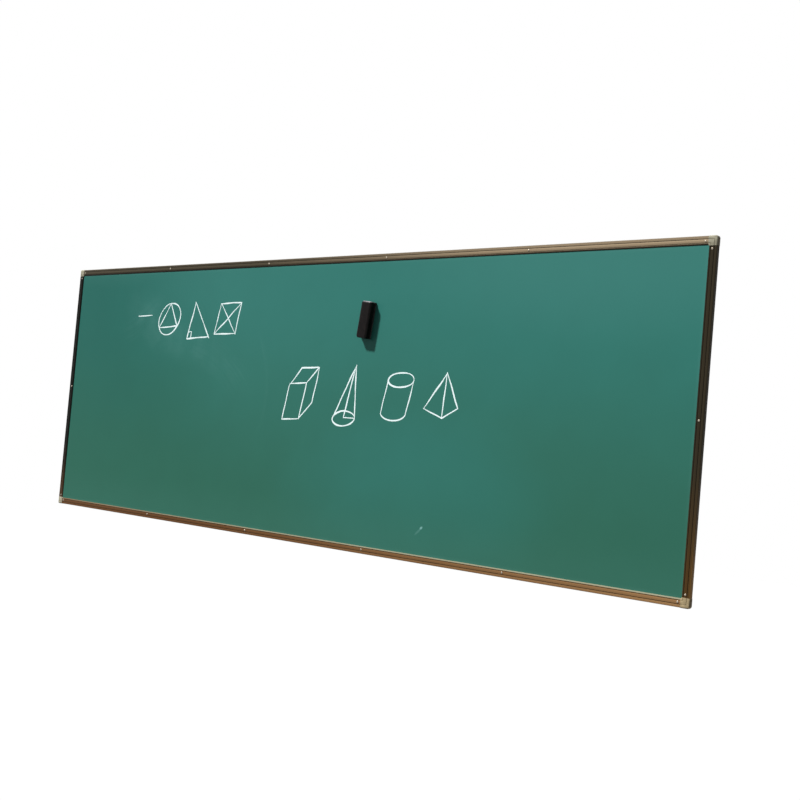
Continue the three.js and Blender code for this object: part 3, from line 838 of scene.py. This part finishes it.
# %% The cross recess
def cross_shape():
    """Two crossed bars that narrow towards the bottom of the recess."""
    shape = bmesh.new()
    for size in ((RECESS_LENGTH, RECESS_WIDTH), (RECESS_WIDTH, RECESS_LENGTH)):
        bar = bmesh.ops.create_cube(shape, size=1)["verts"]
        bmesh.ops.scale(shape, vec=(size[0], 2 * RECESS_DEPTH, size[1]), verts=bar)
        bottom = [vert for vert in bar if vert.co.y > 0]
        bmesh.ops.scale(shape, vec=(RECESS_TAPER, 1, RECESS_TAPER), verts=bottom)
        bmesh.ops.translate(shape, vec=(0, -HEAD_HEIGHT, 0), verts=bar)
    return shape


def loose_object(name, shape):
    mesh = bpy.data.meshes.new(name)
    shape.to_mesh(mesh)
    shape.free()
    made = bpy.data.objects.new(name, mesh)
    scene_objects.link(made)
    return made


def carved(shape, *cutters):
    """A bmesh with others cut out of it."""
    block = loose_object("block", shape)
    tools = [loose_object("cutter", cutter) for cutter in cutters]
    for tool in tools:
        cut = block.modifiers.new("cut", "BOOLEAN")
        cut.operation = "DIFFERENCE"
        cut.solver = "EXACT"
        cut.use_self = True
        cut.object = tool
    view = bpy.context.evaluated_depsgraph_get()
    result = bmesh.new()
    result.from_mesh(block.evaluated_get(view).data)
    for item in (block, *tools):
        bpy.data.objects.remove(item)
    join_up(result)
    return result


# %% Every screw in its place
SCREW_TURN_DEGREES = 37
screw_steel = zinc()
screw_nodes = sorted(name for name in frame["nodes"] if "_screw_" in name)
screw_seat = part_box("rail_bottom")[0].y
for count, node in enumerate(screw_nodes):
    low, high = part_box(node)
    middle = (low + high) / 2
    shape = carved(screw_shape(high.y - screw_seat), cross_shape())
    turn = Matrix.Rotation(math.radians(SCREW_TURN_DEGREES * count), 4, "Y")
    place = Matrix.Translation((middle.x, screw_seat, middle.z)) @ turn
    bmesh.ops.transform(shape, matrix=place, verts=shape.verts)
    make_piece("pan_" + node, shape, screw_steel, "board", [node])
print("screws made:", len(screw_nodes))

# %% [markdown]
# ## The back
#
# Behind the face lie light core boards and a galvanised sheet. Hot zinc freezes in flat crystals, the
# spangle, so a Voronoi pattern gives each crystal its own grey and its own dullness. The bars over
# the joints and their rivets are mill aluminium, with faint lines from rolling.

# %% Galvanised steel, mill aluminium and core board
SPANGLE_TONES = (paint(142, 147, 150), paint(188, 192, 194))
MILL_TONES = (paint(176, 178, 180), paint(206, 207, 208))
CARD_TONES = (paint(160, 134, 98), paint(196, 170, 130))


def galvanised(name, spangle):
    """Hot zinc coating, with about that many crystals to the metre."""
    zinc_coat = Finish(name, {"Metallic": 0.75})
    place = zinc_coat.place()
    warped = zinc_coat.noise(place, spangle * 0.6, 2.0)
    inputs = {"Vector": place, "Scale": spangle, "Randomness": 0.95}
    crystal = zinc_coat.node("ShaderNodeTexVoronoi", inputs=inputs, output="Color")
    grey = zinc_coat.axes(crystal)[0]
    zinc_coat.put({
        "Base Color": zinc_coat.mix(0.65 * grey + 0.35 * warped, *SPANGLE_TONES),
        "Roughness": 0.36 + 0.2 * grey,
        "Normal": zinc_coat.bump(grey, 0.03 * MM),
    })
    return zinc_coat


def mill_aluminium():
    rolled = Finish("mill_aluminium", {"Metallic": 0.9})
    place = rolled.place()
    lines = rolled.noise(rolled.stretched(place, (260, 260, 1)), 8.0, 3.0)
    patches = rolled.noise(place, 8.0, 2.0)
    rolled.put({
        "Base Color": rolled.mix(0.5 * lines + 0.5 * patches, *MILL_TONES),
        "Roughness": 0.34 + 0.16 * lines,
        "Normal": rolled.bump(lines, 0.02 * MM),
    })
    return rolled


def core_card():
    card = Finish("core_card", {"Roughness": 0.9, "Specular IOR Level": 0.2})
    place = card.place()
    fibres = card.noise(card.stretched(place, (1, 1, 6)), 160.0, 4.0)
    card.put({
        "Base Color": card.mix(fibres, *CARD_TONES),
        "Normal": card.bump(fibres, 0.1 * MM),
    })
    return card


# %% Dress the pieces of the back
BAR_ROUND = 0.4 * MM
RIVET_ROUND = 0.15 * MM
SHEET_SPANGLE = 90.0
PAD_SPANGLE = 240.0
sheet_zinc = galvanised("galvanised_sheet", SHEET_SPANGLE)
pad_zinc = galvanised("galvanised_pads", PAD_SPANGLE)
bar_metal = mill_aluminium()
card = core_card()


def dress(node, finish):
    """Gives a plain solid that stays its finish."""
    materials = frame["nodes"][node].data.materials
    materials.clear()
    materials.append(finish.material)


dress("writing_sheet", lacquer)
dress("back_sheet", sheet_zinc)
for node in sorted(frame["nodes"]):
    if node.startswith("core_board"):
        dress(node, card)
    if node.startswith("wall_spacer"):
        make_softened(node, BAR_ROUND, pad_zinc, "board")
    if node.startswith("rear_bar"):
        make_softened(node, BAR_ROUND, bar_metal, "board")
    if node.startswith("bar_rivet"):
        make_softened(node, RIVET_ROUND, bar_metal, "board")
softened = [item.name for item in scene_objects if item.name.startswith("soft_")]
print("softened copies so far:", len(softened))

# %% [markdown]
# ## Chalk figures
#
# The board carries two rows of plain geometry figures in chalk, small and leaning, as a quick hand
# draws them. A stroke is a curve whose thickness changes along it, as a hand presses and lifts. The
# tubes are turned into a mesh and pressed flat on the face, thinner than the gap that the eraser
# slides in. The grain of the enamel breaks the chalk up, so the powder covers it only in part.

# %% Chalk that the grain of the enamel breaks up
SHEET_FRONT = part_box("writing_sheet")[0].y
CHALK_THICKNESS = 0.12 * MM
STROKE_WIDTH = 6 * MM
WOBBLE = 3 * MM
POINT_SPACING = 12 * MM
CHALK_TONES = (paint(210, 238, 235), paint(240, 255, 255))


def chalk_powder():
    chalk = Finish("chalk", {"Roughness": 0.95, "Specular IOR Level": 0.05})
    place = chalk.place()
    grain = chalk.noise(place, 700.0, 3.0, 0.3)
    drag = chalk.noise(place, 90.0, 3.0, 0.4)
    press = chalk.noise(place, 24.0, 2.0)
    cover = chalk.smooth(grain + 0.7 * drag + 0.5 * press, 0.72, 1.0)
    chalk.put({
        "Base Color": chalk.mix(cover, *CHALK_TONES),
        "Alpha": 0.55 + 0.45 * cover,
        "Normal": chalk.bump(grain, 0.1 * MM),
    })
    return chalk


# %% Figures as strokes, each in a square from 0 to 1
def line(*corners):
    return [Vector(corner) for corner in corners]


def arc(centre, half_size, start_degrees, end_degrees, steps=28):
    """An arc of an ellipse, by its half width and half height."""
    turn = (end_degrees - start_degrees) / steps
    angles = [math.radians(start_degrees + turn * step) for step in range(steps + 1)]
    reaches = [(half_size[0] * math.cos(angle), half_size[1] * math.sin(angle)) for angle in angles]
    return [Vector((centre[0] + across, centre[1] + up)) for across, up in reaches]


DASH = [line((0, 0.42), (1, 0.56))]
RIGHT_TRIANGLE = [
    line((0.05, 0.95), (0, 0), (0.95, 0.06)),
    line((0.03, 0.98), (1, 0.02)),
    line((0, 0.17), (0.15, 0.18), (0.16, 0)),
]
CIRCLE_ROUND_TRIANGLE = [
    arc((0.5, 0.5), (0.5, 0.5), 100, 468),
    line((0.09, 0.22), (0.93, 0.27), (0.42, 0.99), (0.1, 0.24)),
]
SQUARE_WITH_DIAGONALS = [
    line((0.02, 0.98), (0, 0), (1, 0.04)),
    line((0, 0.96), (0.97, 1), (1, 0)),
    line((0.03, 0.97), (0.98, 0.05)),
    line((0.02, 0.02), (0.96, 0.98)),
]
CUBE = [
    line((0, 0.66), (0.02, 0), (0.64, 0.03)),
    line((0, 0.68), (0.63, 0.7), (0.66, 0.02)),
    line((0.01, 0.66), (0.33, 0.98), (0.98, 1), (0.63, 0.7)),
    line((0.98, 1), (1, 0.34), (0.65, 0.03)),
]
CONE = [
    arc((0.5, 0.12), (0.5, 0.12), 10, 374),
    line((0.01, 0.14), (0.52, 1)),
    line((0.5, 1), (1, 0.12)),
    line((0.5, 0.93), (0.5, 0.13), (0.97, 0.13)),
]
CYLINDER = [
    arc((0.5, 0.84), (0.5, 0.15), 60, 428),
    line((0, 0.84), (0.01, 0.14)),
    line((1, 0.84), (0.99, 0.14)),
    arc((0.5, 0.15), (0.5, 0.15), 180, 360, 18),
]
PYRAMID = [
    line((0, 0.2), (0.62, 0), (1, 0.24), (0.45, 1)),
    line((0.02, 0.2), (0.46, 0.98)),
    line((0.61, 0.01), (0.45, 0.99)),
]

# %% Where each figure stands: its lower left corner and its size, in metres along and up the board
SLANT = 0.22
WOBBLES_PER_METRE = 14
FIRST_ROW = [
    (DASH, (-1.272, 0.345), (0.11, 0.03)),
    (CIRCLE_ROUND_TRIANGLE, (-1.12, 0.268), (0.16, 0.15)),
    (RIGHT_TRIANGLE, (-0.88, 0.25), (0.16, 0.175)),
    (SQUARE_WITH_DIAGONALS, (-0.685, 0.27), (0.145, 0.145)),
]
SECOND_ROW = [
    (CUBE, (-0.185, -0.09), (0.16, 0.225)),
    (CONE, (0.115, -0.1), (0.125, 0.25)),
    (CYLINDER, (0.38, -0.065), (0.135, 0.19)),
    (PYRAMID, (0.6, -0.045), (0.17, 0.175)),
]


def by_hand(stroke, corner, size):
    """A stroke on the board, with points close together and a slight wobble."""
    placed = []
    for point in stroke:
        up = point.y * size[1]
        placed.append(Vector((corner[0] + point.x * size[0] + SLANT * up, corner[1] + up)))
    points = []
    for start, end in zip(placed, placed[1:]):
        count = max(1, round((end - start).length / POINT_SPACING))
        points += [start.lerp(end, step / count) for step in range(count)]
    points.append(placed[-1])
    spots = [Vector((point.x, point.y, 0)) * WOBBLES_PER_METRE for point in points]
    drift = [noise.noise_vector(spot) * WOBBLE for spot in spots]
    return [Vector((point.x + d.x, 0, point.y + d.y)) for point, d in zip(points, drift)]


# %% Lay the strokes down and press them flat
PRESS_STEPS = 9
PRESSES_PER_METRE = 17
MIDDLE_PRESS = 0.95
PRESS_SWING = 0.55
END_PRESS = 0.55


def chalk_row(name, figures, finish):
    curve = bpy.data.curves.new(name, "CURVE")
    curve.dimensions = "3D"
    curve.bevel_depth = STROKE_WIDTH / 2
    curve.bevel_resolution = 2
    curve.use_fill_caps = True
    for strokes, corner, size in figures:
        for stroke in strokes:
            points = by_hand(stroke, corner, size)
            spline = curve.splines.new("POLY")
            spline.points.add(len(points) - 1)
            for step, (point, target) in enumerate(zip(spline.points, points)):
                point.co = (*target, 1)
                ends = min(step, len(points) - 1 - step) / PRESS_STEPS
                press = MIDDLE_PRESS + PRESS_SWING * noise.noise(target * PRESSES_PER_METRE)
                point.radius = press * min(1, END_PRESS + ends)
    drawn = bpy.data.objects.new(name, curve)
    scene_objects.link(drawn)
    view = bpy.context.evaluated_depsgraph_get()
    shape = bmesh.new()
    shape.from_mesh(drawn.evaluated_get(view).to_mesh())
    bpy.data.objects.remove(drawn)
    join_up(shape)
    thickest = max(abs(vert.co.y) for vert in shape.verts)
    bmesh.ops.scale(shape, vec=(1, CHALK_THICKNESS / 2 / thickest, 1), verts=shape.verts)
    bmesh.ops.translate(shape, vec=(0, SHEET_FRONT - CHALK_THICKNESS / 2, 0), verts=shape.verts)
    bmesh.ops.recalc_face_normals(shape, faces=shape.faces)
    make_piece(name, shape, finish, "board")


chalk = chalk_powder()
chalk_row("chalk_figures_upper", FIRST_ROW, chalk)
chalk_row("chalk_figures_lower", SECOND_ROW, chalk)
print("chalk strokes laid:", sum(len(strokes) for strokes, _, _ in FIRST_ROW + SECOND_ROW))

# %% [markdown]
# ## The eraser
#
# A block eraser in three layers: a black moulded back to hold, a foam plate with two magnets, and a
# felt block slit into strips. Its own axes run across it, into the board and along it, and it leans a
# little, as someone put it there. Only the back and the edges of the felt show.

# %% The eraser's own axes and sizes
ERASER_TILT_DEGREES = 6.5
ERASER_LENGTH = 150 * MM
ERASER_WIDTH = 55 * MM
ERASER_DEPTH = 34 * MM
ERASER_CORNER = 9 * MM
ERASER_EDGE = 9 * MM
FELT_THICKNESS = 9.5 * MM
SHELL_WALL = 2.5 * MM
PLATE_THICKNESS = 5 * MM
GRIP_RADIUS = 8 * MM
GRIP_BITE = 1.2 * MM
GAP = 0.3 * MM
UPRIGHT_SEGMENTS = 6
ROD_SEGMENTS = 64
BLACK_TONES = (paint(17, 14, 14), paint(29, 24, 23))
# A pale pinkish rim on the end that looks up: chalk dust and a painted highlight.
RIM_DUST_AND_HIGHLIGHT = paint(196, 188, 194)
HIGHLIT_RIM_START = 3.5 * MM
HIGHLIT_RIM_END = 1.5 * MM
HIGHLIGHT_FADES_FROM = 4 * MM
HIGHLIGHT_FADES_TO = 12 * MM

low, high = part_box("eraser_shell")
eraser_middle = (low + high) / 2
eraser_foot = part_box("eraser_felt")[1].y
eraser_tilt = math.radians(ERASER_TILT_DEGREES)
eraser_axes = (
    Matrix.Translation((eraser_middle.x, eraser_foot, eraser_middle.z))
    @ Matrix.Rotation(eraser_tilt, 4, "Y")
)


def black_plastic():
    """Black plastic, rubbed in patches, with chalk dust and a painted highlight on the rim that looks
    up.
    """
    black = Finish("black_plastic", {"Specular IOR Level": 0.08})
    place = black.place()
    x, y, z = black.axes(place)
    grain = black.noise(place, 1400.0, 2.0)
    rub = black.noise(place, 45.0, 4.0, 0.6)
    rubbed = black.mix(black.smooth(rub, 0.35, 0.8), *BLACK_TONES)
    # Painted highlight with chalk dust along the upper rim, fading away from the front.
    up = (x - eraser_middle.x) * math.sin(eraser_tilt) + (z - eraser_middle.z) * math.cos(eraser_tilt)
    rim = black.smooth(up, ERASER_LENGTH / 2 - HIGHLIT_RIM_START, ERASER_LENGTH / 2 - HIGHLIT_RIM_END)
    front = eraser_foot - ERASER_DEPTH
    behind = black.smooth(y, front + HIGHLIGHT_FADES_FROM, front + HIGHLIGHT_FADES_TO)
    dust_and_sheen = rim * (1 - 0.75 * behind) * (0.4 + 0.5 * black.smooth(rub, 0.3, 0.7))
    black.put({
        "Base Color": black.mix(dust_and_sheen, rubbed, RIM_DUST_AND_HIGHLIGHT),
        "Roughness": 0.28 + 0.12 * grain + 0.4 * dust_and_sheen,
        "Normal": black.bump(grain, 0.03 * MM),
    })
    return black


# %% Blocks with rounded upright edges
def rounded_block(width, length, near, far, radius):
    """A block from the depth near to the depth far, its edges along Y rounded."""
    shape = bmesh.new()
    bmesh.ops.create_cube(shape, size=1)
    bmesh.ops.scale(shape, vec=(width, abs(far - near), length), verts=shape.verts)
    bmesh.ops.translate(shape, vec=(0, (near + far) / 2, 0), verts=shape.verts)
    upright = [edge for edge in shape.edges if abs(edge.verts[0].co.y - edge.verts[1].co.y) > HAIR]
    soften(shape, upright, radius, UPRIGHT_SEGMENTS)
    return shape


def rod(radius, length, x, y):
    """A rod along the eraser's length."""
    shape = bmesh.new()
    bmesh.ops.create_cone(
        shape, cap_ends=True, segments=ROD_SEGMENTS, radius1=radius, radius2=radius, depth=length,
        matrix=Matrix.Translation((x, y, 0)),
    )
    return shape


# %% The moulded back
def round_far_end(shape, radius):
    """Rounds the rim of the end that looks away from the board."""
    far = min(vert.co.y for vert in shape.verts)
    rim = [edge for edge in shape.edges if all(vert.co.y < far + HAIR for vert in edge.verts)]
    soften(shape, rim, radius, ROUND_SEGMENTS)


def shell_shape():
    """A hollow back, open to the felt, with a grip along each side.

    The block that cuts the hollow starts a millimetre past the open side, so that it cuts it open.
    """
    shape = rounded_block(ERASER_WIDTH, ERASER_LENGTH, -FELT_THICKNESS, -ERASER_DEPTH, ERASER_CORNER)
    round_far_end(shape, ERASER_EDGE - HAIR)
    inside = rounded_block(
        ERASER_WIDTH - 2 * SHELL_WALL, ERASER_LENGTH - 2 * SHELL_WALL,
        -FELT_THICKNESS + MM, -ERASER_DEPTH + SHELL_WALL, ERASER_CORNER - SHELL_WALL,
    )
    round_far_end(inside, ERASER_EDGE - SHELL_WALL - HAIR)
    grip_depth = -(FELT_THICKNESS + ERASER_DEPTH - ERASER_EDGE) / 2
    reach = ERASER_WIDTH / 2 + GRIP_RADIUS - GRIP_BITE
    grips = [rod(GRIP_RADIUS, 2 * ERASER_LENGTH, side * reach, grip_depth) for side in (-1, 1)]
    return carved(shape, inside, *grips)


shell = shell_shape()
bmesh.ops.transform(shell, matrix=eraser_axes, verts=shell.verts)
plastic = black_plastic()
back = make_piece("moulded_back", shell, plastic, "eraser", ["eraser_shell"])
print("moulded back faces:", len(back.data.polygons))

# %% [markdown]
# ## Felt and foam
#
# Felt is pressed wool: no threads, only a mat of fibres, so its surface is lumpy and its edges are
# soft. The block is extruded from a section with slits, its long edges are rounded, and every point
# is then moved a little by a noise that knows its place, so that the block never looks machined. The
# foam is fine-celled and only pricked by its bump. The magnets are dark ferrite discs that keep their
# plain shape.

# %% Felt strips
FELT_INSET = 1 * MM
FELT_STRIPS = 5
SLIT_WIDTH = 1.2 * MM
SLIT_DEPTH = 4 * MM
FELT_ROUND = 0.5 * MM
FELT_LUMPS = 0.125 * MM
LUMPS_PER_METRE = 320
FELT_CUTS = 46
FELT_BLACK = (paint(22, 20, 20), paint(52, 48, 47))
FELT_DUST = paint(120, 122, 120)


def felt_cloth():
    wool = Finish("felt", {"Roughness": 1.0, "Specular IOR Level": 0.1, "Sheen Weight": 0.35})
    place = wool.place()
    fibres = wool.noise(place, 1600.0, 4.0, 1.5)
    lumps = wool.noise(place, 260.0, 3.0, 0.8)
    chalky = wool.smooth(wool.noise(place, 90.0, 4.0), 0.5, 0.8)
    dark = wool.mix(fibres, *FELT_BLACK)
    wool.put({
        "Base Color": wool.mix(0.3 * chalky, dark, FELT_DUST),
        "Normal": wool.bump(0.6 * fibres + 0.4 * lumps, 0.5 * MM),
    })
    return wool


def felt_section():
    """The corners of the block's section, with its slits."""
    width = ERASER_WIDTH - 2 * FELT_INSET
    strip = (width - (FELT_STRIPS - 1) * SLIT_WIDTH) / FELT_STRIPS
    points = [(-width / 2, -FELT_THICKNESS + GAP), (width / 2, -FELT_THICKNESS + GAP)]
    for i in reversed(range(FELT_STRIPS)):
        left = -width / 2 + i * (strip + SLIT_WIDTH)
        points += [(left + strip, 0), (left, 0)]
        if i > 0:
            points += [(left, -SLIT_DEPTH), (left - SLIT_WIDTH, -SLIT_DEPTH)]
    return points


def felt_shape():
    """The felt block. Its lumps stay inside its plain size."""
    length = ERASER_LENGTH - 2 * FELT_INSET
    shape = bmesh.new()
    loop = draw_loop(shape, felt_section(), -length / 2)
    draw_out(shape, loop, length)
    soften(shape, long_edges(shape), FELT_ROUND)
    bmesh.ops.subdivide_edges(shape, edges=long_edges(shape), cuts=FELT_CUTS)
    bmesh.ops.holes_fill(shape, edges=[edge for edge in shape.edges if edge.is_boundary])
    bmesh.ops.triangulate(shape, faces=[face for face in shape.faces if len(face.verts) > 4])
    bmesh.ops.recalc_face_normals(shape, faces=shape.faces)
    inner = 1 - 2 * FELT_LUMPS / length
    for vert in shape.verts:
        lump = noise.noise_vector(vert.co * LUMPS_PER_METRE) * FELT_LUMPS
        vert.co = Vector((vert.co.x * inner, vert.co.y, vert.co.z * inner)) + lump
        vert.co.y = min(0, max(-FELT_THICKNESS + GAP / 2, vert.co.y))
    return shape


felt = felt_shape()
bmesh.ops.transform(felt, matrix=eraser_axes, verts=felt.verts)
felt_piece = make_piece("felt_block", felt, felt_cloth(), "eraser", ["eraser_felt"])
print("felt faces:", len(felt_piece.data.polygons))

# %% Foam plate and magnets
MAGNET_FROM_MIDDLE = 40 * MM
MAGNET_RADIUS = 10 * MM
FOAM_ROUND = 0.6 * MM
CELLS_PER_METRE = 1500.0
FOAM_TONES = (paint(42, 42, 44), paint(74, 74, 76))
FERRITE_TONES = (paint(44, 44, 48), paint(66, 66, 70))


def foam_cells():
    foam = Finish("foam", {"Roughness": 0.95, "Specular IOR Level": 0.1})
    place = foam.place()
    inputs = {"Vector": place, "Scale": CELLS_PER_METRE}
    cells = foam.node("ShaderNodeTexVoronoi", inputs=inputs, output="Distance")
    foam.put({
        "Base Color": foam.mix(cells, *FOAM_TONES),
        "Normal": foam.bump(cells, 0.3 * MM),
    })
    return foam


def ferrite():
    magnet = Finish("ferrite", {"Metallic": 0.3})
    grain = magnet.noise(magnet.place(), 1200.0, 3.0)
    magnet.put({
        "Base Color": magnet.mix(grain, *FERRITE_TONES),
        "Roughness": 0.45 + 0.2 * grain,
    })
    return magnet


near = -FELT_THICKNESS
inset = SHELL_WALL + GAP
plate = rounded_block(
    ERASER_WIDTH - 2 * inset, ERASER_LENGTH - 2 * inset,
    near, near - PLATE_THICKNESS, ERASER_CORNER - inset,
)
soften(plate, sharp_edges(plate), FOAM_ROUND)
pockets = []
for side in (-1, 1):
    pocket = rod(MAGNET_RADIUS + GAP, 4 * PLATE_THICKNESS, 0, 0)
    bmesh.ops.rotate(pocket, matrix=Matrix.Rotation(math.pi / 2, 3, "X"), verts=pocket.verts)
    bmesh.ops.translate(pocket, vec=(0, near, side * MAGNET_FROM_MIDDLE), verts=pocket.verts)
    pockets.append(pocket)
plate = carved(plate, *pockets)
bmesh.ops.transform(plate, matrix=eraser_axes, verts=plate.verts)
foam = foam_cells()
plate_piece = make_piece("foam_plate", plate, foam, "eraser", ["eraser_foam_plate"])
print("foam plate faces:", len(plate_piece.data.polygons))
magnet_finish = ferrite()
dress("eraser_magnet_upper", magnet_finish)
dress("eraser_magnet_lower", magnet_finish)
